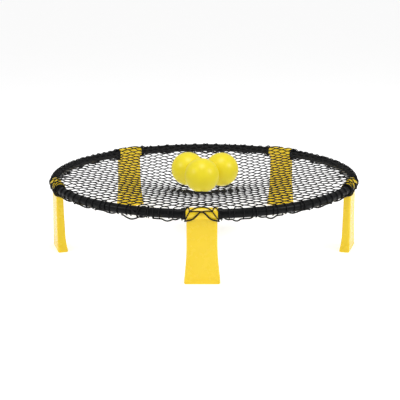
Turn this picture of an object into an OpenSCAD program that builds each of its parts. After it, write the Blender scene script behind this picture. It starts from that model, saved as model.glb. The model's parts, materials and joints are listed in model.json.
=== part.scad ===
// Round bounce-net game set: a round rim on five fold-in legs, a sagging knotted
// net laced round the rim, and three soft hollow balls resting in the net.
// Units are millimetres, +Z is up, the origin is on the ground under the net's centre.
// Leg 1 stands on the -Y side. Legs and rim tubes are numbered from -Y towards +X.

/* [Rim] */
// outside diameter of the rim circle over the tubes
rim_d = 914; // [700:2:1200]
// height of the rim's top above the ground
rim_h = 199; // [150:1:320]
// outside diameter of a rim tube
tube_d = 25; // [20:0.5:32]
// wall thickness of a rim tube
tube_wall = 2.5; // [1.5:0.1:4]
// outside diameter of the thick collar at each tube end
collar_d = 31; // [28:0.5:38]
// width of a lacing hook along the rim
hook_w = 5.2; // [4:0.2:9]
// how far the lacing hooks reach out from the tube
hook_reach = 6.4; // [6.2:0.2:9]

/* [Legs] */
// length of the sleeve that turns on the rim
sleeve_len = 82; // [60:1:120]
// outside diameter of the sleeve
sleeve_d = 33; // [30:0.5:40]
// radial running clearance between sleeve and shaft
hinge_gap = 0.08; // [0.03:0.01:0.1]
// width of the leg at its top
leg_top_w = 80; // [60:1:110]
// width of the leg at its foot
foot_w = 95; // [70:1:130]
// wall thickness of the leg
leg_wall = 3; // [2:0.2:5]
// how far a leg folds inward
fold_travel = 80; // [40:1:84]

/* [Net] */
// how far the net's centre hangs below its edge
net_sag = 45; // [25:1:60]
// radius of the flatter middle of the net
net_flat_r = 100; // [60:5:140]
// how deep the balls press into the net
ball_press = 8.4; // [4:0.2:12]
// thickness of the net, knots included
net_t = 2; // [1.4:0.1:4]
// diameter of the border cord
cord_d = 4; // [2.5:0.1:6]

/* [Balls] */
// outside diameter of a ball
ball_d = 102; // [80:1:120]
// wall thickness of a ball
ball_wall = 3; // [2:0.2:6]
// diameter of the valve plug
valve_d = 8; // [5:0.5:12]

/* [Hidden] */

rim_col = [0.12, 0.13, 0.14];
leg_col = [0.94, 0.80, 0.20];
net_col = [0.18, 0.18, 0.19];
ball_col = [0.95, 0.88, 0.20];

// rim circle: radius and height of the tube's centre line, and of the hinge axis
rim_r = (rim_d - tube_d) / 2;
rim_z = rim_h - tube_d / 2;
hinge_r = rim_r - 3;

// stations along the hinge axis, measured from the middle of the leg
sleeve_x = sleeve_len / 2;
collar_x0 = sleeve_x + 0.5;
collar_x1 = sleeve_x + 12;
hook_x = sleeve_x + 9;
spigot_x = sleeve_x + 22;
arc_a0 = asin((sleeve_x + 6) / rim_r);
spigot_d = tube_d - 2 * tube_wall - 2;
shaft_d = tube_d;

// hooks: five gaps between six hooks on every tube
hook_a0 = asin(hook_x / rim_r);
hook_step = (72 - 2 * hook_a0) / 5;

module at_leg(i) {
    rotate([0, 0, 72 * (i - 1)]) children();
}

// a cylinder along the hinge axis of the leg on the -Y side
module along_hinge(d, x0, x1, fn = 96) {
    translate([x0, -hinge_r, rim_z])
        rotate([0, 90, 0])
            cylinder(d = d, h = x1 - x0, $fn = fn);
}

// ---------- rim tubes ----------

// a hook under the tube's inner side, with a toe behind which the cord lies,
// at azimuth a on a tube of radius rt whose centre line is at radius r
module lacing_hook(a, r, rt) {
    rotate([0, 0, a]) translate([0, -r, rim_z]) rotate([35, 0, 0]) {
        translate([-hook_w / 2, -1.4, -rt - hook_reach])
            cube([hook_w, 2.8, hook_reach + 1.2]);
        translate([-hook_w / 2, -1.4, -rt - hook_reach])
            cube([hook_w, 7.8, 1.5]);
    }
}

// stop lug on a collar's face, seen from the sleeve
module stop_lug(x0, x1) {
    translate([x0, -hinge_r, rim_z]) rotate([90, 0, 90])
        rotate([0, 0, 40]) rotate_extrude(angle = 10, $fn = 96)
            translate([shaft_d / 2 + 0.5, 0]) square([2.2, x1 - x0]);
}

module rim_tube_solid(a0, a1) {
    rotate([0, 0, a0 - 90])
        rotate_extrude(angle = a1 - a0, $fn = 180)
            translate([rim_r, rim_z]) circle(d = tube_d, $fn = 64);
}

module rim_tube_bore(a0, a1) {
    rotate([0, 0, a0 - 90])
        rotate_extrude(angle = a1 - a0, $fn = 180)
            translate([rim_r, rim_z]) circle(d = tube_d - 2 * tube_wall, $fn = 64);
}

// the tube between leg i and the next one
module rim_tube(i) {
    color(rim_col) at_leg(i) difference() {
        union() {
            rim_tube_solid(arc_a0, 72 - arc_a0);
            along_hinge(collar_d, collar_x0, collar_x1);
            rotate([0, 0, 72]) along_hinge(collar_d, -collar_x1, -collar_x0);
            stop_lug(sleeve_x - 2, collar_x0 + 0.5);
            rotate([0, 0, 72]) stop_lug(-collar_x0 - 0.5, -sleeve_x + 2);
            lacing_hook(hook_a0, hinge_r / cos(hook_a0), collar_d / 2);
            lacing_hook(72 - hook_a0, hinge_r / cos(hook_a0), collar_d / 2);
            for (j = [1:4]) lacing_hook(hook_a0 + j * hook_step, rim_r, tube_d / 2);
        }
        rim_tube_bore(arc_a0, 72 - arc_a0);
        along_hinge(spigot_d + 0.2, collar_x0 - 3, spigot_x + 1);
        rotate([0, 0, 72]) along_hinge(spigot_d + 0.2, -spigot_x - 1, -collar_x0 + 3);
    }
}

// ---------- couplers: the shafts the legs turn on ----------

module rim_coupler(i) {
    color(rim_col) at_leg(i) difference() {
        union() {
            along_hinge(shaft_d, -sleeve_x - 0.4, sleeve_x + 0.4);
            along_hinge(spigot_d, -spigot_x, spigot_x);
        }
        along_hinge(spigot_d - 5, -spigot_x - 1, spigot_x + 1);
    }
}

// ---------- legs ----------

// The leg is hollow, with a drain hole low in its inner face.
// Profiles of the leg by height: share of the foot's extra width that is gone,
// and how far the outer and inner faces stand off from their places at the top
leg_taper = [[0, 0], [6, 0.03], [30, 0.32], [52, 0.62], [74, 0.84], [96, 0.96], [120, 1]];
outer_lean = [[0, -2.7], [16, -2.7], [60, -1.7], [110, -0.8], [165, 0]];
inner_flare = [[0, 6.2], [4, 6.1], [10, 5.2], [22, 3], [42, 1.2], [110, 0.4], [165, 0]];
out_y = -hinge_r - 11.6;
in_y = -hinge_r + 8.5;
// rounding of the foot's lower edge, of the outer corners and of the inner corners
foot_edge = 2.4;
outer_corner = 6;
inner_corner = 3.4;

// heights at which the outside and the hollow inside of the leg are drawn
leg_z = [
    0, 0.4, 1.1, 2.4, 6, 10, 16, 22, 30, 42, 52, 63, 74, 85, 96, 108, 120, 140, 165, rim_z
];
hollow_z = [4, 10, 22, 36, 52, 74, 96, 120, 162];
drain_d = 5;

function leg_hw(z) = foot_w / 2 - (foot_w - leg_top_w) / 2 * lookup(z, leg_taper);
function edge_inset(z) =
    z >= foot_edge ? 0 : foot_edge - sqrt(foot_edge * foot_edge - pow(foot_edge - z, 2));

// a quarter turn of radius r round the point (x, y) from angle a, in n steps
function corner(x, y, r, a, n, z) =
    [for (k = [0:n]) [x + r * cos(a + 90 * k / n), y + r * sin(a + 90 * k / n), z]];

// cross-section of the leg at height z, moved in by e, counter-clockwise seen from above
function leg_ring(z, e, n) = let (
    hw = leg_hw(z) - e,
    y0 = out_y + lookup(z, outer_lean) + e,
    y1 = in_y + lookup(z, inner_flare) - e,
    p = outer_corner - min(e, leg_wall),
    q = e < leg_wall ? inner_corner : 1
) concat(
    corner(-hw + p, y0 + p, p, 180, n, z), corner(hw - p, y0 + p, p, 270, n, z),
    corner(hw - q, y1 - q, q, 0, n, z), corner(-hw + q, y1 - q, q, 90, n, z)
);

// a closed solid through a stack of rings with the same number of points
module ring_stack(rings) {
    n = len(rings[0]);
    last = len(rings) - 1;
    polyhedron(
        points = [for (r = rings) each r],
        faces = concat(
            [[for (m = [0:n - 1]) m]],
            [for (k = [0:last - 1]) for (m = [0:n - 1]) let (
                a = k * n + m,
                b = k * n + (m + 1) % n
            ) each [[a, a + n, b + n], [a, b + n, b]]],
            [[for (m = [n - 1:-1:0]) last * n + m]]
        )
    );
}

// slot in a sleeve end in which the stop lug moves
module stop_slot(x0, x1) {
    translate([x0, -hinge_r, rim_z]) rotate([90, 0, 90])
        rotate([0, 0, 39 - fold_travel]) rotate_extrude(angle = fold_travel + 12, $fn = 96)
            translate([shaft_d / 2 - 1, 0]) square([4.2, x1 - x0]);
}

module leg(i) {
    color(leg_col) at_leg(i) difference() {
        union() {
            ring_stack([for (z = leg_z) leg_ring(z, edge_inset(z), 5)]);
            along_hinge(sleeve_d, -sleeve_x, sleeve_x);
        }
        ring_stack([for (z = hollow_z) leg_ring(z, leg_wall, 2)]);
        translate([0, in_y - 10, 14]) rotate([-90, 0, 0]) cylinder(d = drain_d, h = 20, $fn = 32);
        along_hinge(shaft_d + 2 * hinge_gap, -sleeve_x - 1, sleeve_x + 1);
        stop_slot(sleeve_x - 2.6, sleeve_x + 1);
        stop_slot(-sleeve_x - 1, -sleeve_x + 2.6);
    }
}

// ---------- net ----------

// distance of the net's middle line from the tube axis and from the hinge axis
lay_tube = tube_d / 2 + 1.7;
lay_sleeve = sleeve_d / 2 + 2.4;
net_edge_z = rim_z + lay_tube;

// a slack net loaded in its middle: steeper near the load, flatter towards the rim
function net_rho(r) = pow(pow(r, 4) + pow(net_flat_r, 4), 0.25);
function slack_z(r) = net_edge_z - net_sag * ln(rim_r / net_rho(r)) / ln(rim_r / net_flat_r);

// the groove that the balls press into it all round, a running clearance below them
ball_gap = 0.5;
ball_ring = (ball_d + 0.8) / sqrt(3);
ball_z = slack_z(ball_ring) - ball_press + net_t / 2 + ball_gap + ball_d / 2;
groove_r = ball_d / 2 + ball_gap + net_t / 2;
function groove_z(r) = abs(r - ball_ring) > groove_r - 8
    ? net_edge_z + 30 : ball_z - sqrt(pow(groove_r, 2) - pow(r - ball_ring, 2));
blend = 1.4;
function net_z(r) = -blend * ln(exp(-slack_z(r) / blend) + exp(-groove_z(r) / blend));

dish_r = [
    0, 14, 24, 30, 36, 43, 51, 60, 68, 76, 82, 87, 92, 98, 108, 124, 150, 190, 240, 300, 360, 410, 426
];

function dish_pts(dz) = [for (r = dish_r) [r, net_z(r) + dz]];
function lap_pts(r0, d, a0, a1, n) =
    [for (k = [0:n]) let (a = a0 + (a1 - a0) * k / n) [r0 + d * cos(a), rim_z + d * sin(a)]];
function flip(v) = [for (k = [len(v) - 1:-1:0]) v[k]];

// cross-section of the lap over a tube, and of the lap over a sleeve
module tube_lap() {
    polygon(concat(
        [[420, net_z(420) + net_t / 2]],
        lap_pts(rim_r, lay_tube + net_t / 2, 88, -22, 12),
        lap_pts(rim_r, lay_tube - net_t / 2, -22, 88, 12),
        [[420, net_z(420) - net_t / 2]]
    ));
}

module sleeve_lap() {
    polygon(concat(
        [[420, net_z(420) + net_t / 2], [426, net_z(426) + net_t / 2]],
        lap_pts(hinge_r + 1, lay_sleeve + net_t / 2, 133, 40, 10),
        lap_pts(hinge_r + 1, lay_sleeve - net_t / 2, 40, 134, 10),
        [[426, net_z(426) - net_t / 2], [420, net_z(420) - net_t / 2]]
    ));
}

module net() {
    color(net_col) union() {
        rotate_extrude($fn = 180)
            polygon(concat(dish_pts(net_t / 2), flip(dish_pts(-net_t / 2))));
        for (i = [1:5]) at_leg(i) {
            rotate([0, 0, 7.5 - 90]) rotate_extrude(angle = 57, $fn = 180) tube_lap();
            rotate([0, 0, -7.6 - 90]) rotate_extrude(angle = 15.2, $fn = 180) sleeve_lap();
        }
    }
}

// ---------- border cord ----------

// route past a leg: position along the hinge axis, then outward and upward from that axis
leg_half = [
    [48.6, -13.6, -12.4], [43.8, -13, -13.2], [43.2, -7.4, -17.5], [43.4, 0.5, -19],
    [43.6, 7, -18.6], [43.6, 12, -16.8], [40.8, 14.7, -15.4], [34.5, 15.3, -14.3],
    [27.5, 15.6, -12.4], [20, 17.7, -7.6], [12.5, 19.4, 0.6], [6, 18.2, 7.2]
];
leg_route = concat(
    [for (p = leg_half) [-p[0], p[1], p[2]]], [[0, 17, 9.4]],
    [for (k = [len(leg_half) - 1:-1:0]) leg_half[k]]
);

// route from hook to hook: share of the gap, then outward and upward from the tube's centre line
gap_shape = [
    [0.057, -11.5, -10.6], [0.115, -5.2, -14.9], [0.18, 3, -15.4], [0.265, 9.6, -12.3],
    [0.38, 12.2, -9.2], [0.5, 12.4, -8.9], [0.62, 12.2, -9.2], [0.735, 9.6, -12.3],
    [0.82, 3, -15.4], [0.885, -5.2, -14.9], [0.943, -11.5, -10.6]
];

// slack loops: tube, gap, place of the loop's middle in the gap, half its width, its depth
loops = [
    [5, 3, 0.5, 0.25, 8], [5, 4, 0.58, 0.16, 5], [1, 0, 0.42, 0.13, 5], [1, 1, 0.44, 0.17, 6],
    [2, 1, 0.5, 0.2, 4], [3, 2, 0.45, 0.2, 5], [4, 3, 0.55, 0.16, 4]
];
loop_form = [[-1, 0.3, 0], [-0.5, 0, 0.7], [0, 0, 1], [0.5, 0, 0.7], [1, 0.3, 0]];
function loops_at(i, j) = [for (l = loops) if (l[0] == i && l[1] == j) l];
function shape_at(i, j) = let (l = loops_at(i, j)) len(l) == 0 ? gap_shape : concat(
    [for (k = [0:2]) gap_shape[k]],
    [for (t = loop_form) [l[0][2] + t[0] * l[0][3], 6.5, -14.1 - t[1] - t[2] * l[0][4]]],
    [for (k = [8:10]) gap_shape[k]]
);

function on_leg(p) = [p[0], -(hinge_r + p[1]), rim_z + p[2]];
function on_tube(a, u, v) = [(rim_r + u) * sin(a), -(rim_r + u) * cos(a), rim_z + v];
function turned(p, a) = [p[0] * cos(a) - p[1] * sin(a), p[0] * sin(a) + p[1] * cos(a), p[2]];

// beside a collar the cord keeps a little further off; every gap but the last ends behind a hook
function gap_pts(i, j) = let (a = hook_a0 + j * hook_step, g = shape_at(i, j)) concat(
    [for (k = [0:10]) let (near = (j == 0 && k == 0) || (j == 4 && k == 10))
        on_tube(a + g[k][0] * hook_step, near ? -12.6 : g[k][1], near ? -12.6 : g[k][2])],
    j < 4 ? [on_tube(a + hook_step, -11.7, -10)] : []
);

function sector_pts(i) = [
    for (p = concat(
        [for (p = leg_route) on_leg(p)],
        [for (j = [0:4]) each gap_pts(i, j)]
    )) turned(p, 72 * (i - 1))
];

// closed curve of the whole cord
cord_path = [for (i = [1:5]) each sector_pts(i)];
path_n = len(cord_path);

function unit(v) = v / norm(v);
function ring(k) = let (
    p = cord_path[k],
    t = unit(cord_path[(k + 1) % path_n] - cord_path[(k + path_n - 1) % path_n]),
    q = unit([p[0], p[1], 0]),
    u = unit(cross(t, q)),
    v = cross(u, t)
) [for (m = [0:7]) p + cord_d / 2 * (cos(45 * m) * v + sin(45 * m) * u)];

module net_border_cord() {
    pts = [for (k = [0:path_n - 1]) each ring(k)];
    faces = [for (k = [0:path_n - 1]) for (m = [0:7]) let (
        a = k * 8 + m,
        b = k * 8 + (m + 1) % 8,
        c = ((k + 1) % path_n) * 8 + (m + 1) % 8,
        d = ((k + 1) % path_n) * 8 + m
    ) each [[a, b, c], [a, c, d]]];
    color(net_col) polyhedron(points = pts, faces = faces);
}

// ---------- balls ----------

// the three balls lean together round the net's centre
ball_az = [265, 25, 145];
valve_dir = [[0, 120, 200], [0, 115, 330], [0, 118, 90]];

module at_ball(i) {
    rotate([0, 0, ball_az[i - 1]]) translate([ball_ring, 0, ball_z]) children();
}

module ball(i) {
    color(ball_col) at_ball(i) difference() {
        sphere(d = ball_d, $fn = 96);
        sphere(d = ball_d - 2 * ball_wall, $fn = 96);
        rotate(valve_dir[i - 1]) cylinder(d = valve_d, h = ball_d, $fn = 32);
    }
}

module ball_valve(i) {
    color(ball_col) at_ball(i) rotate(valve_dir[i - 1]) difference() {
        translate([0, 0, ball_d / 2 - ball_wall - 3])
            cylinder(d = valve_d, h = ball_wall + 2.6, $fn = 32);
        translate([0, 0, ball_d / 2 - 2.4]) cylinder(d = 1.6, h = 4, $fn = 24);
    }
}

// ---------- one line for each sub-part ----------

rim_tube(1);  // rim_tube_1
rim_tube(2);  // rim_tube_2
rim_tube(3);  // rim_tube_3
rim_tube(4);  // rim_tube_4
rim_tube(5);  // rim_tube_5
rim_coupler(1);  // rim_coupler_1
rim_coupler(2);  // rim_coupler_2
rim_coupler(3);  // rim_coupler_3
rim_coupler(4);  // rim_coupler_4
rim_coupler(5);  // rim_coupler_5
leg(1);  // leg_1
leg(2);  // leg_2
leg(3);  // leg_3
leg(4);  // leg_4
leg(5);  // leg_5
net();
net_border_cord();
ball(1);  // ball_1
ball(2);  // ball_2
ball(3);  // ball_3
ball_valve(1);  // ball_valve_1
ball_valve(2);  // ball_valve_2
ball_valve(3);  // ball_valve_3
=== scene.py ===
import json
import math
import random

import bmesh
import bpy
import numpy as np
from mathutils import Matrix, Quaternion, Vector


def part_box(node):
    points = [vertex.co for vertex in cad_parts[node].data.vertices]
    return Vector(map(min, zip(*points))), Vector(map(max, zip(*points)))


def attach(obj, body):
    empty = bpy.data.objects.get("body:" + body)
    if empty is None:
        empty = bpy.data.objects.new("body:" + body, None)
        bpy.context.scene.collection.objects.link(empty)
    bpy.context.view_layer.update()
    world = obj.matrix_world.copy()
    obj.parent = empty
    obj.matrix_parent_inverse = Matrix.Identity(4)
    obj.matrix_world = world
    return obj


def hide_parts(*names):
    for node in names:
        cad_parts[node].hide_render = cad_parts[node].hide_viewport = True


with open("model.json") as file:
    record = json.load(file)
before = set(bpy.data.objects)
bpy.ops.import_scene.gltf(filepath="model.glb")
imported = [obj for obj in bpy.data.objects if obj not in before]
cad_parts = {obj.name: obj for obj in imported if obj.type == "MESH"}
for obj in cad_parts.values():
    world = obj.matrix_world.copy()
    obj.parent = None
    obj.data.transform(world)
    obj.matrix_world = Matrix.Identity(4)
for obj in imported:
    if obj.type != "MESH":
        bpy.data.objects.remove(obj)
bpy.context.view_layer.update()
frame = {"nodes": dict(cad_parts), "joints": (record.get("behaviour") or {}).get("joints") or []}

# Net, border cord, looks and light for the CAD pieces of a round bounce-net game set.

random.seed(7)

# ---------------------------------------------------------------- camera

CAM_TARGET = (0.0, 0.0, 0.10)
CAM_DIST = 2.8
CAM_ELEV = 14.485
CAM_AZ = 0.70
CAM_ROLL = -0.20
LENS = 82.58
SENSOR = 36.0
SHIFT_X = -0.0099
SHIFT_Y = 0.0083
FAR_CLIP = 200.0


def make_camera():
    e, a = math.radians(CAM_ELEV), math.radians(CAM_AZ)
    data = bpy.data.cameras.new("camera")
    cam = bpy.data.objects.new("camera", data)
    bpy.context.collection.objects.link(cam)
    t = Vector(CAM_TARGET)
    d = Vector((math.sin(a) * math.cos(e), -math.cos(a) * math.cos(e), math.sin(e)))
    cam.location = t + d * CAM_DIST
    look = (t - cam.location).to_track_quat("-Z", "Y")
    cam.rotation_mode = "QUATERNION"
    cam.rotation_quaternion = look @ Quaternion((0, 0, 1), math.radians(CAM_ROLL))
    data.lens = LENS
    data.sensor_width = SENSOR
    data.shift_x = SHIFT_X
    data.shift_y = SHIFT_Y
    data.clip_end = FAR_CLIP
    bpy.context.scene.camera = cam


make_camera()

# ---------------------------------------------------------------- sizes, in metres

MM = 0.001
LEGS = 5
BALL_COUNT = 3
SECTOR = 2 * math.pi / LEGS
HINGE = next(j for j in frame["joints"] if j["name"] == "leg_1_fold")["pos_m"]
HINGE_R = -HINGE[1]         # distance of the hinge axes from the middle
RIM_Z = HINGE[2]            # height of the tube's centre line and of the hinge axes
RIM_R = HINGE_R + 0.003     # radius of the tube's centre line
TUBE_RAD = 0.0125
COLLAR_RAD = 0.0155
SLEEVE_RAD = 0.0165
SLEEVE_X = 0.041            # where a leg's sleeve ends, along its hinge axis
COLLAR_X1 = 0.053           # where the tube's collar ends
SLEEVE_STEP = 0.0005        # the net keeps level this far past the sleeve
COLLAR_STEP = 0.001         # and this far past the collar
COLLAR_FADE = 0.006         # length over which the net drops from collar to tube
CORD_RAD = 0.0014           # mesh cord
BORDER_RAD = 0.002          # border cord
LIFT = CORD_RAD + 0.0003    # mesh cord's centre line above what it lies on
MESH_A = 0.0186             # half a mesh across
MESH_B = 0.0183             # half a mesh deep
NET_TOP = RIM_Z + 0.0142    # height of the slack net's edge
NET_SAG = 0.0457            # how far its middle hangs below that
NET_FLAT = 0.092            # radius within which its middle levels out
NET_BLEND = 0.004           # how softly the slack net turns into the part pressed under a ball


def ball_place(name):
    lo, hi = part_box(name)
    return (Vector(lo) + Vector(hi)) / 2, (hi[0] - lo[0]) / 2


BALLS = [ball_place(f"ball_{i}") for i in range(1, BALL_COUNT + 1)]
BALL_CLEAR = CORD_RAD + 0.0009      # a cord's centre line below a ball's skin


def slack_z(r):
    rho = (r ** 4 + NET_FLAT ** 4) ** 0.25
    return NET_TOP - NET_SAG * math.log(RIM_R / rho) / math.log(RIM_R / NET_FLAT)


def net_z(x, y):
    """Height of the net: slack, and pressed down under each ball."""
    total = math.exp(-slack_z(math.hypot(x, y)) / NET_BLEND)
    for centre, radius in BALLS:
        reach = (radius + BALL_CLEAR) ** 2 - (x - centre.x) ** 2 - (y - centre.y) ** 2
        if reach > 0:
            total += math.exp(-(centre.z - math.sqrt(reach)) / NET_BLEND)
    return -NET_BLEND * math.log(total)


# ---------------------------------------------------------------- small builders


def new_object(name, tubes, body):
    mesh = bpy.data.meshes.new(name)
    mesh.from_pydata([tuple(v) for v in tubes.verts], [], tubes.faces)
    mesh.update()
    mesh.polygons.foreach_set("use_smooth", [True] * len(mesh.polygons))
    obj = bpy.data.objects.new(name, mesh)
    bpy.context.collection.objects.link(obj)
    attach(obj, body)
    return obj


def between(p0, p1, p2, p3, t):
    """Point of a smooth curve through four points, between the middle two."""
    return 0.5 * (
        2 * p1 + (p2 - p0) * t + (2 * p0 - 5 * p1 + 4 * p2 - p3) * t * t
        + (3 * p1 - p0 - 3 * p2 + p3) * t ** 3
    )


def smooth_closed(pts, steps):
    """A smooth loop through the points."""
    p = np.asarray(pts, float)
    n = len(p)
    out = []
    for k in range(n):
        p0, p1, p2, p3 = p[k - 1], p[k], p[(k + 1) % n], p[(k + 2) % n]
        out += [between(p0, p1, p2, p3, m / steps) for m in range(steps)]
    return np.array(out)


def smooth_open(pts, steps):
    """A smooth curve through the points, from the first to the last."""
    p = np.asarray([pts[0]] + list(pts) + [pts[-1]], float)
    out = []
    for k in range(1, len(p) - 2):
        p0, p1, p2, p3 = p[k - 1:k + 3]
        out += [between(p0, p1, p2, p3, m / steps) for m in range(steps)]
    out.append(p[-2])
    return out


def smooth_step(t):
    return t * t * (3 - 2 * t)


class Tubes:
    """Round tubes and knots, gathered into one mesh."""

    def __init__(self):
        self.verts = []
        self.faces = []

    def add(self, path, radius, sides=6, closed=False, up=(0, 0, 1)):
        """A tube along the path; up, one for all or one a point, keeps it from twisting."""
        pts = np.asarray(path, float)
        n = len(pts)
        if closed:
            tang = np.roll(pts, -1, 0) - np.roll(pts, 1, 0)
        else:
            tang = np.gradient(pts, axis=0)
        tang /= np.linalg.norm(tang, axis=1)[:, None]
        ref = np.asarray(up, float)
        if ref.ndim == 1:
            ref = np.tile(ref, (n, 1))
        side = np.cross(tang, ref)
        side /= np.linalg.norm(side, axis=1)[:, None] + 1e-12
        nor = np.cross(side, tang)
        base = len(self.verts)
        for k in range(n):
            for m in range(sides):
                a = 2 * math.pi * m / sides
                self.verts.append(
                    pts[k] + radius * (math.cos(a) * side[k] + math.sin(a) * nor[k])
                )
        last = n if closed else n - 1
        for k in range(last):
            k2 = (k + 1) % n
            for m in range(sides):
                m2 = (m + 1) % sides
                self.faces.append((
                    base + k * sides + m, base + k2 * sides + m,
                    base + k2 * sides + m2, base + k * sides + m2,
                ))
        if not closed:
            self.faces.append(tuple(base + m for m in range(sides)))
            self.faces.append(tuple(base + (n - 1) * sides + m for m in reversed(range(sides))))

    def blob(self, centre, axes, radii, rings=5, sides=7):
        """A closed rounded lump with the three radii along the three axes."""
        c = np.asarray(centre, float)
        ax = [np.asarray(v, float) for v in axes]
        base = len(self.verts)
        self.verts.append(c + ax[0] * radii[0])
        for i in range(1, rings):
            t = math.pi * i / rings
            for m in range(sides):
                a = 2 * math.pi * m / sides
                self.verts.append(
                    c + ax[0] * radii[0] * math.cos(t)
                    + ax[1] * radii[1] * math.sin(t) * math.cos(a)
                    + ax[2] * radii[2] * math.sin(t) * math.sin(a)
                )
        self.verts.append(c - ax[0] * radii[0])
        end = len(self.verts) - 1
        for m in range(sides):
            m2 = (m + 1) % sides
            self.faces.append((base, base + 1 + m, base + 1 + m2))
            self.faces.append((end, end - sides + m2, end - sides + m))
        for i in range(rings - 2):
            for m in range(sides):
                m2 = (m + 1) % sides
                r0 = base + 1 + i * sides
                r1 = r0 + sides
                self.faces.append((r0 + m, r1 + m, r1 + m2, r0 + m2))


# ---------------------------------------------------------------- border cord, on the CAD's route

GAPS = 5                    # gaps between the hooks of one tube
HOOK_X0 = 0.050             # from a leg's middle to the first hook beside it
HOOK_A0 = math.asin(HOOK_X0 / RIM_R)
HOOK_STEP = (SECTOR - 2 * HOOK_A0) / GAPS
# past half a leg, in mm: along the hinge axis, then outward and upward from it
LEG_HALF = [
    (48.6, -13.6, -12.4), (43.8, -13, -13.2), (43.2, -7.4, -17.5), (43.4, 0.5, -19),
    (43.6, 7, -18.6), (43.6, 12, -16.8), (40.8, 14.7, -15.4), (34.5, 15.3, -14.3),
    (27.5, 15.6, -12.4), (20, 17.7, -7.6), (12.5, 19.4, 0.6), (6, 18.2, 7.2),
]
LEG_ROUTE = [(-x, u, v) for x, u, v in LEG_HALF] + [(0, 17, 9.4)] + LEG_HALF[::-1]
# past a gap: share of the gap, then mm outward and upward from the tube's centre line
GAP_SHAPE = [
    (0.057, -11.5, -10.6), (0.115, -5.2, -14.9), (0.18, 3, -15.4), (0.265, 9.6, -12.3),
    (0.38, 12.2, -9.2), (0.5, 12.4, -8.9), (0.62, 12.2, -9.2), (0.735, 9.6, -12.3),
    (0.82, 3, -15.4), (0.885, -5.2, -14.9), (0.943, -11.5, -10.6),
]
# slack loops by tube and gap: middle and half width as shares of the gap, depth in mm
LOOPS = {
    (5, 3): (0.5, 0.25, 8), (5, 4): (0.58, 0.16, 5), (1, 0): (0.42, 0.13, 5),
    (1, 1): (0.44, 0.17, 6), (2, 1): (0.5, 0.2, 4), (3, 2): (0.45, 0.2, 5),
    (4, 3): (0.55, 0.16, 4),
}
# a loop's points: share of the half width, drop in mm, share of the depth
LOOP_FORM = [(-1, 0.3, 0), (-0.5, 0, 0.7), (0, 0, 1), (0.5, 0, 0.7), (1, 0.3, 0)]
LOOP_BASE = (6.5, -14.1)            # mm outward and upward, from which a loop hangs
BESIDE_LEG = (-12.6, -12.6)         # the same for a gap's point next to a leg
UNDER_HOOK = (1, -11.7, -10)        # added to a gap that ends at a hook
BORDER_STEPS = 3


def turned(p, a):
    return (
        p[0] * math.cos(a) - p[1] * math.sin(a),
        p[0] * math.sin(a) + p[1] * math.cos(a),
        p[2],
    )


def gap_points(i, j):
    shape = list(GAP_SHAPE)
    if (i, j) in LOOPS:
        mid, half, depth = LOOPS[i, j]
        shape[3:8] = [
            (mid + t * half, LOOP_BASE[0], LOOP_BASE[1] - drop - low * depth)
            for t, drop, low in LOOP_FORM
        ]
    if j == 0:
        shape[0] = (shape[0][0], *BESIDE_LEG)
    if j == GAPS - 1:
        shape[-1] = (shape[-1][0], *BESIDE_LEG)
    else:
        shape.append(UNDER_HOOK)
    return shape


def border_route():
    pts = []
    for i in range(1, LEGS + 1):
        sector = [(x * MM, -(HINGE_R + u * MM), RIM_Z + v * MM) for x, u, v in LEG_ROUTE]
        for j in range(GAPS):
            for f, u, v in gap_points(i, j):
                b = HOOK_A0 + (j + f) * HOOK_STEP
                r = RIM_R + u * MM
                sector.append((r * math.sin(b), -r * math.cos(b), RIM_Z + v * MM))
        pts += [turned(p, SECTOR * (i - 1)) for p in sector]
    return pts


border_path = smooth_closed(border_route(), BORDER_STEPS)


def make_border_cord():
    tubes = Tubes()
    radial = border_path.copy()
    radial[:, 2] = 0
    radial /= np.linalg.norm(radial, axis=1)[:, None]
    tubes.add(border_path, BORDER_RAD, sides=12, closed=True, up=radial)
    obj = new_object("net_border_braid", tubes, "rim")
    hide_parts("net_border_cord")
    return obj


# ---------------------------------------------------------------- the knotted net


def azimuth(x, y):
    return math.atan2(x, -y)


def leg_offset(az):
    """Signed angle from the nearest leg."""
    return (az + SECTOR / 2) % SECTOR - SECTOR / 2


def section(az):
    """Centre radius of the round bar under the net at this azimuth, and its own radius there."""
    a = leg_offset(az)
    x = abs(math.tan(a)) * HINGE_R
    if x < SLEEVE_X + SLEEVE_STEP:
        return HINGE_R / math.cos(a), SLEEVE_RAD / math.cos(a)
    if x < COLLAR_X1 + COLLAR_STEP:
        return HINGE_R / math.cos(a), COLLAR_RAD / math.cos(a)
    t = smooth_step(min(1.0, (x - COLLAR_X1 - COLLAR_STEP) / COLLAR_FADE))
    r0, d0 = HINGE_R / math.cos(a), COLLAR_RAD
    return r0 + (RIM_R - r0) * t, d0 + (TUBE_RAD - d0) * t


# the border cord's points in order of azimuth
border_az = np.array([azimuth(p[0], p[1]) % (2 * math.pi) for p in border_path])
border_order = np.argsort(border_az)
border_az_sorted = border_az[border_order]


def border_angle(az):
    """The border cord's polar angle round the bar at this azimuth."""
    k = int(np.searchsorted(border_az_sorted, az % (2 * math.pi))) % len(border_order)
    p = border_path[border_order[k]]
    rc, _ = section(az)
    return math.atan2(p[2] - RIM_Z, math.hypot(p[0], p[1]) - rc)


def lay(az, phi, lift):
    """Point on the bar's surface at this azimuth and angle, lifted clear by lift."""
    rc, d = section(az)
    r = rc + (d + lift) * math.cos(phi)
    return (r * math.sin(az), -r * math.cos(az), RIM_Z + (d + lift) * math.sin(phi))


DISH_DROP = 0.0002          # cords lie this far below net_z
BAR_CLEAR = 0.0004          # height between the bar's crown and a cord, before that drop
RISE_START = 0.075          # the net begins to rise this far inside the bar
RISE_LENGTH = 0.065         # and rises over this length


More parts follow.
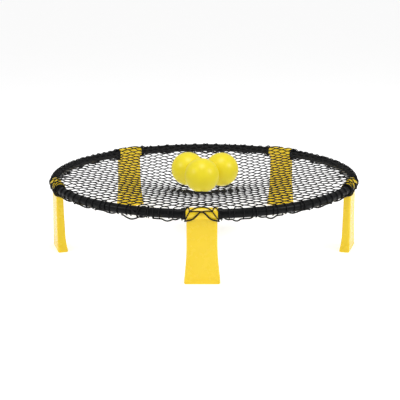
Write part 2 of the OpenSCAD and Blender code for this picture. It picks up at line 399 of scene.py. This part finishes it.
def dish_point(x, y, dz=0.0):
    """Point of the net inside the rim, drawn up onto the bar near it."""
    rc, d = section(azimuth(x, y))
    z = net_z(x, y) - DISH_DROP
    # over a leg's sleeve the net rides higher
    top = RIM_Z + d + CORD_RAD + BAR_CLEAR
    lead = (math.hypot(x, y) - (rc - RISE_START)) / RISE_LENGTH
    z += (top - slack_z(RIM_R)) * smooth_step(max(0.0, min(1.0, lead)))
    return (x, y, z + dz)


LEVEL_SHARE = 0.62          # how much a cord levels out at each knot
ROW_MIDDLE = 0.84           # depth of a row at the net's middle, as a share of MESH_B
ROW_FAR = 0.000123          # growth of the rows' depth toward the far side
ROW_NEAR = 0.00667          # and toward the near side
SLOW = 0.0016               # slow unevenness of the weave
QUICK_X = 0.0024            # and a quicker one, across and deep
QUICK_Y = 0.0011


def wave(t):
    """Runs level near each knot and steep between knots."""
    return t - LEVEL_SHARE * math.sin(2 * math.pi * t) / (2 * math.pi)


def net_lines():
    """Diagonal cords of both families: each one's row at the middle and its direction."""
    n = int(RIM_R / MESH_A) + 4
    return [(c, sgn) for c in range(-2 * n, 2 * n + 1, 2) for sgn in (1, -1)]


def row_place(v):
    """Rows lie closer together across the middle, where the net is pulled sideways."""
    bulge = ROW_FAR * v ** 3 if v > 0 else ROW_NEAR * v * abs(v)
    return MESH_B * (ROW_MIDDLE * v + bulge)


def lattice(c, sgn, t):
    """Position on line c at lattice column t; a knot lies at every whole t."""
    x = MESH_A * t
    y = row_place(sgn * wave(t) + c)
    # uneven in the same way for every cord that passes; the waves are chosen
    slow_x = SLOW * math.sin(11 * y + 1.3) * math.cos(7 * x)
    slow_y = SLOW * math.sin(9 * x + 0.4) * math.cos(8 * y)
    quick_x = QUICK_X * math.sin(47 * y + 9 * x + 0.7)
    quick_y = QUICK_Y * math.sin(43 * x + 13 * y)
    return x + slow_x + quick_x, y + slow_y + quick_y


ATTACH = (-0.050, -0.001, 0.050)    # where the cords over a sleeve gather, along its axis
FRONT_ROW = 24                      # the row of knots that lies on leg 1's sleeve
FRONT_Y = -0.42                     # a cord of FRONT ends in front of this
FRONT_NEAR = 0.012                  # and this near to its column
FRONT_STEPS = 4
LAP_START = math.radians(101)       # a lap's polar angles round the bar
LAP_STOP = math.radians(-76)
LAP_STEP = math.radians(11)
LAP_SLANT = 0.9                     # steepest slant of a cord as it meets the bar
LAP_REACH = 0.006                   # how soon the slant dies out
LAP_LEAD = 1.15                     # a cord gathers before its lap's end
LAP_BEND = 0.8                      # and turns sharpest at the start
LAP_LEAST = 6                       # least number of steps in a lap
SLEEVE_NEAR = 0.003                 # this far past a sleeve, cords still gather
# the last row of meshes on the front of leg 1: place along the sleeve in mm and polar angle
FRONT = {
    (-2, -1): [(-37, 92), (-33, 66), (-29, 35), (-20, 34), (-10, 34), (-1, 32)],
    (0, 1): [(0, 86), (-10, 80), (-19, 62), (-29, 35), (-34.5, 4), (-39, -27), (-42.5, -46)],
    (0, -1): [(0, 86), (9, 80), (17, 62), (25, 35), (31.5, 4), (37.5, -27), (42.5, -46)],
    (2, 1): [(34, 92), (30, 66), (25, 35), (17, 37), (8, 37), (1, 32)],
}
FRONT_KNOTS = [(-37, 92), (0, 87), (34, 92), (-29, 35), (25, 35)]
# loose strands laid over the tube left of leg 1: azimuth and polar angle in degrees
STRANDS = [
    [(-25.6, 84), (-24.4, 37), (-22.8, 6), (-21.3, -23), (-19.0, -52)],
    [(-22.0, -72), (-21.6, -25), (-21.1, 18), (-20.3, 66), (-19.4, 76), (-18.7, 66),
     (-17.8, 31), (-17.6, -17), (-17.7, -60)],
]


def front_path(c, sgn, p_edge):
    """The cord's way down the front of leg 1's sleeve, or None elsewhere."""
    key = (sgn * (-FRONT_ROW - c), sgn)
    off = abs(p_edge[0] - key[0] * MESH_A)
    if key not in FRONT or p_edge[1] > FRONT_Y or off > FRONT_NEAR:
        return None
    return [
        lay(math.atan(x * MM / HINGE_R), math.radians(deg), LIFT)
        for x, deg in smooth_open(FRONT[key], FRONT_STEPS)
    ]


def lap_path(p_in, p_edge):
    """The cord's way from the last inner point over the bar to the border cord."""
    az = azimuth(p_edge[0], p_edge[1])
    az_in = azimuth(p_in[0], p_in[1])
    rc, d = section(az)
    drift = (az - az_in + math.pi) % (2 * math.pi) - math.pi
    gap = math.hypot(p_edge[0] - p_in[0], p_edge[1] - p_in[1])
    slant = max(-LAP_SLANT, min(LAP_SLANT, drift * rc / max(gap, 1e-6)))
    x = math.tan(leg_offset(az)) * HINGE_R
    goal = None
    if abs(x) < SLEEVE_X + SLEEVE_NEAR:
        ahead = [t for t in ATTACH if (t - x) * slant > 0]
        goal = min(ahead, key=lambda t: abs(t - x)) if ahead else x
    shift = (goal - x) / rc if goal is not None else 0.0
    stop = max(border_angle(az + shift), LAP_STOP)
    n = max(LAP_LEAST, int((LAP_START - stop) / LAP_STEP))
    pts = []
    for k in range(n + 1):
        phi = LAP_START + (stop - LAP_START) * k / n
        s = (LAP_START - phi) * (d + LIFT)
        if goal is None:
            a = az + slant * LAP_REACH * (1 - math.exp(-s / LAP_REACH)) / rc
        else:
            a = az + shift * min(1.0, LAP_LEAD * k / n) ** LAP_BEND
        pts.append(lay(a, phi, LIFT))
    return pts


COLUMNS = 60.0              # lattice columns walked to each side of the middle
STEP = 1 / 6                # lattice columns between a cord's points
EDGE_GAP = 0.004            # the dish part of a cord stops this far inside the bar's centre line
LEAST_POINTS = 6            # a shorter cord is left out
CROSSING = 0.00045          # half the height between two cords that cross
KNOT = (0.0036, 0.0019, 0.0018)         # half width, half depth and half height
FRONT_KNOT = (0.0034, 0.0021, 0.0019)   # the same on the front of leg 1's sleeve
FRONT_TURN = 4              # degrees round the sleeve that give a front knot its direction
KNOT_SIZES = (0.9, 1.12)    # knots differ in width and depth between these
SLOPE_STEP = 0.001          # distance over which the net's slope is taken
STRAND_LIFT = LIFT + 0.0016     # loose strands lie over the other cords
STRAND_STEPS = 6


def inside_rim(c, sgn):
    """The lattice columns at which line c lies inside the rim."""
    inside = []
    t = -COLUMNS
    while t <= COLUMNS:
        x, y = lattice(c, sgn, t)
        rc, _ = section(azimuth(x, y))
        if math.hypot(x, y) < rc - EDGE_GAP:
            inside.append(t)
        t = round(t + STEP, 6)
    return inside


def add_cords(tubes):
    """All cords of the mesh, their ends lashed over the bar; returns the knots' places."""
    knots = {}
    for c, sgn in net_lines():
        inside = inside_rim(c, sgn)
        if len(inside) < LEAST_POINTS:
            continue
        pts = [dish_point(*lattice(c, sgn, t), dz=CROSSING * sgn) for t in inside]
        for t in inside:
            if abs(t - round(t)) < 1e-4:
                # both cords of a knot pass here, so it is kept by its rounded place
                x, y = lattice(c, sgn, t)
                knots[(round(x, 4), round(y, 4))] = (x, y)
        head = front_path(c, sgn, pts[0]) or lap_path(pts[1], pts[0])
        tail = front_path(c, sgn, pts[-1]) or lap_path(pts[-2], pts[-1])
        tubes.add(list(reversed(head)) + pts + tail, CORD_RAD)
    return knots.values()


def add_knot(tubes, x, y):
    """A knot flat in the net's slope."""
    h = SLOPE_STEP
    slope_x = (net_z(x + h, y) - net_z(x - h, y)) / (2 * h)
    slope_y = (net_z(x, y + h) - net_z(x, y - h)) / (2 * h)
    up = Vector((-slope_x, -slope_y, 1)).normalized()
    across = Vector((1, 0, slope_x)).normalized()
    s = random.uniform(*KNOT_SIZES)
    axes = (across, up.cross(across).normalized(), up)
    tubes.blob(dish_point(x, y), axes, (KNOT[0] * s, KNOT[1] * s, KNOT[2]))


def add_front_knot(tubes, x, deg):
    """A knot on the front of leg 1's sleeve."""
    az = math.atan(x * MM / HINGE_R)
    p = Vector(lay(az, math.radians(deg), LIFT))
    q = Vector(lay(az, math.radians(deg + FRONT_TURN), LIFT))
    along = Vector((1, 0, 0))
    around = (q - p).normalized()
    tubes.blob(p, (along, around, along.cross(around)), FRONT_KNOT)


def make_net():
    tubes = Tubes()
    for x, y in add_cords(tubes):
        add_knot(tubes, x, y)
    for x, deg in FRONT_KNOTS:
        add_front_knot(tubes, x, deg)
    for strand in STRANDS:
        way = smooth_open([(math.radians(a), math.radians(f)) for a, f in strand], STRAND_STEPS)
        tubes.add([lay(a, f, STRAND_LIFT) for a, f in way], CORD_RAD)
    obj = new_object("net_mesh", tubes, "rim")
    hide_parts("net")
    return obj


# ---------------------------------------------------------------- materials

SPREAD = (0.3, 0.7)         # the part of a noise's range that carries the change


class Mat:
    """A material built on its Principled shader, in object coordinates."""

    def __init__(self, name):
        self.material = bpy.data.materials.new(name)
        self.material.use_nodes = True
        self.tree = self.material.node_tree
        self.shader = self.tree.nodes["Principled BSDF"]
        self.coord = self.tree.nodes.new("ShaderNodeTexCoord")

    def node(self, kind):
        return self.tree.nodes.new(kind)

    def link(self, a, b):
        self.tree.links.new(a, b)

    def set(self, socket, value):
        self.shader.inputs[socket].default_value = value

    def noise(self, scale, detail, vec=None):
        n = self.node("ShaderNodeTexNoise")
        n.inputs["Scale"].default_value = scale
        n.inputs["Detail"].default_value = detail
        n.inputs["Roughness"].default_value = 0.6
        self.link(vec or self.coord.outputs["Object"], n.inputs["Vector"])
        return n.outputs["Fac"]

    def colour(self, fac, lo, hi):
        """Base colour from lo to hi with fac."""
        r = self.node("ShaderNodeValToRGB")
        for el, pos, col in zip(r.color_ramp.elements, SPREAD, (lo, hi)):
            el.position = pos
            el.color = (*col, 1)
        self.link(fac, r.inputs["Fac"])
        self.link(r.outputs["Color"], self.shader.inputs["Base Color"])

    def roughness(self, fac, lo, hi):
        m = self.node("ShaderNodeMapRange")
        m.inputs["From Min"].default_value = SPREAD[0]
        m.inputs["From Max"].default_value = SPREAD[1]
        m.inputs["To Min"].default_value = lo
        m.inputs["To Max"].default_value = hi
        self.link(fac, m.inputs["Value"])
        self.link(m.outputs["Result"], self.shader.inputs["Roughness"])

    def relief(self, normal):
        self.link(normal, self.shader.inputs["Normal"])

    def bump(self, height, strength, distance, normal=None):
        n = self.node("ShaderNodeBump")
        n.inputs["Strength"].default_value = strength
        n.inputs["Distance"].default_value = distance
        self.link(height, n.inputs["Height"])
        if normal is not None:
            self.link(normal, n.inputs["Normal"])
        return n.outputs["Normal"]


def rim_material():
    mat = Mat("moulded_black")
    mat.colour(mat.noise(9.0, 3.0), (0.003, 0.0034, 0.0036), (0.005, 0.0056, 0.006))
    mat.roughness(mat.noise(140.0, 3.0), 0.24, 0.36)
    mat.relief(mat.bump(mat.noise(1400.0, 2.0), 0.2, 0.0002))
    mat.set("Specular IOR Level", 0.1)
    return mat.material


def leg_material():
    mat = Mat("moulded_yellow")
    mat.colour(mat.noise(7.0, 3.0), (0.84, 0.58, 0.006), (0.87, 0.615, 0.012))
    mat.roughness(mat.noise(60.0, 4.0), 0.22, 0.30)
    flow = mat.bump(mat.noise(18.0, 2.0), 0.12, 0.002)
    mat.relief(mat.bump(mat.noise(1100.0, 2.0), 0.18, 0.0003, flow))
    mat.set("Specular IOR Level", 0.42)
    mat.set("Subsurface Weight", 0.08)
    mat.set("Subsurface Radius", (0.006, 0.004, 0.001))
    return mat.material


def ball_material(name, tint, seed):
    """Soft yellow skin; the seed shifts its pattern, so that no two balls are alike."""
    mat = Mat(name)
    move = mat.node("ShaderNodeMapping")
    move.inputs["Location"].default_value = (seed * 1.7, seed * 0.9, seed * 2.3)
    mat.link(mat.coord.outputs["Object"], move.inputs["Vector"])
    v = move.outputs["Vector"]
    mat.colour(mat.noise(16.0, 4.0, v), tuple(c * 0.965 for c in tint), tint)
    mat.roughness(mat.noise(120.0, 3.0, v), 0.31, 0.41)
    soft = mat.bump(mat.noise(26.0, 2.0, v), 0.1, 0.0015)
    mat.relief(mat.bump(mat.noise(900.0, 2.0, v), 0.2, 0.00025, soft))
    mat.set("Specular IOR Level", 0.42)
    mat.set("Subsurface Weight", 0.12)
    mat.set("Subsurface Radius", (0.008, 0.006, 0.001))
    return mat.material


def cord_material(name, lo, hi, scale):
    """Black cord; the scale is that of its strands."""
    mat = Mat(name)
    mat.colour(mat.noise(40.0, 4.0), lo, hi)
    mat.roughness(mat.noise(scale, 2.0), 0.62, 0.85)
    cells = mat.node("ShaderNodeTexVoronoi")
    cells.inputs["Scale"].default_value = scale
    mat.link(mat.coord.outputs["Object"], cells.inputs["Vector"])
    mat.relief(mat.bump(cells.outputs["Distance"], 0.5, 0.0004))
    mat.set("Specular IOR Level", 0.2)
    return mat.material


def wear(piece, material):
    obj = frame["nodes"][piece]
    if len(obj.material_slots) == 0:
        obj.data.materials.append(material)
    for slot in obj.material_slots:
        slot.material = material


BALL_TINT = (0.87, 0.725, 0.012)
VALVE_TINT = (0.86, 0.69, 0.015)

rim_mat = rim_material()
leg_mat = leg_material()
net_mat = cord_material(
    "net_cord", (0.004, 0.004, 0.0045), (0.009, 0.009, 0.01), 900.0
)
border_mat = cord_material(
    "border_braid", (0.004, 0.004, 0.0042), (0.009, 0.009, 0.0095), 700.0
)
valve_mat = ball_material("ball_valve", VALVE_TINT, 5)

for i in range(1, LEGS + 1):
    wear(f"rim_tube_{i}", rim_mat)
    wear(f"rim_coupler_{i}", rim_mat)
    wear(f"leg_{i}", leg_mat)
for i in range(1, BALL_COUNT + 1):
    wear(f"ball_{i}", ball_material(f"ball_skin_{i}", BALL_TINT, i))
    wear(f"ball_valve_{i}", valve_mat)

make_border_cord().data.materials.append(border_mat)
make_net().data.materials.append(net_mat)

# ---------------------------------------------------------------- floor and light

FLOOR_RAD = 60.0
FLOOR_DROP = 0.0004         # keeps the floor just clear of the feet
FLOOR_GLOW = 0.43           # lifts the floor to paper white, as a lit backdrop is
WORLD_BASE = 0.50
WORLD_HIGH = 0.08           # added straight overhead
WORLD_REAR = -0.04          # added at the far side
AIM = (0.0, 0.0, 0.1)       # where the softboxes point
# softboxes: name, place, diameter, power
LIGHTS = [
    ("left", (-2.2, -1.1, 1.6), 1.0, 14),
    ("right", (2.2, -1.1, 1.6), 1.0, 20),
    ("top", (0.0, -0.5, 2.3), 1.1, 16),
]


def make_floor():
    bm = bmesh.new()
    bmesh.ops.create_circle(bm, cap_ends=True, radius=FLOOR_RAD, segments=64)
    mesh = bpy.data.meshes.new("floor")
    bm.to_mesh(mesh)
    bm.free()
    obj = bpy.data.objects.new("floor", mesh)
    obj.location = (0, 0, -FLOOR_DROP)
    bpy.context.collection.objects.link(obj)
    mat = Mat("floor_paper")
    mat.colour(mat.noise(3.0, 2.0), (0.95, 0.95, 0.95), (0.96, 0.96, 0.96))
    mat.set("Roughness", 0.9)
    mat.set("Specular IOR Level", 0.1)
    mat.set("Emission Color", (1, 1, 1, 1))
    mat.set("Emission Strength", FLOOR_GLOW)
    obj.data.materials.append(mat.material)


def area_light(name, loc, size, power):
    data = bpy.data.lights.new(name, "AREA")
    data.shape = "DISK"
    data.size = size
    data.energy = power
    obj = bpy.data.objects.new(name, data)
    obj.location = loc
    obj.rotation_euler = (Vector(AIM) - Vector(loc)).to_track_quat("-Z", "Y").to_euler()
    bpy.context.collection.objects.link(obj)


def make_world():
    """An even studio tent, a little brighter overhead and a little dimmer behind."""
    world = bpy.data.worlds.new("studio")
    bpy.context.scene.world = world
    world.use_nodes = True
    tree = world.node_tree

    def maths(kind, a, b):
        n = tree.nodes.new("ShaderNodeMath")
        n.operation = kind
        for socket, v in zip(n.inputs, (a, b)):
            if isinstance(v, float):
                socket.default_value = v
            else:
                tree.links.new(v, socket)
        return n.outputs["Value"]

    back = tree.nodes["Background"]
    back.inputs["Strength"].default_value = 1.0
    where = tree.nodes.new("ShaderNodeTexCoord")
    split = tree.nodes.new("ShaderNodeSeparateXYZ")
    tree.links.new(where.outputs["Generated"], split.inputs["Vector"])
    high = maths("MAXIMUM", split.outputs["Z"], 0.0)
    rear = maths("MULTIPLY", split.outputs["Y"], WORLD_REAR)
    level = maths("ADD", maths("MULTIPLY", high, WORLD_HIGH), rear)
    tree.links.new(maths("ADD", level, WORLD_BASE), back.inputs["Color"])


make_floor()
for light in LIGHTS:
    area_light(*light)
make_world()
bpy.context.scene.view_settings.view_transform = "Standard"
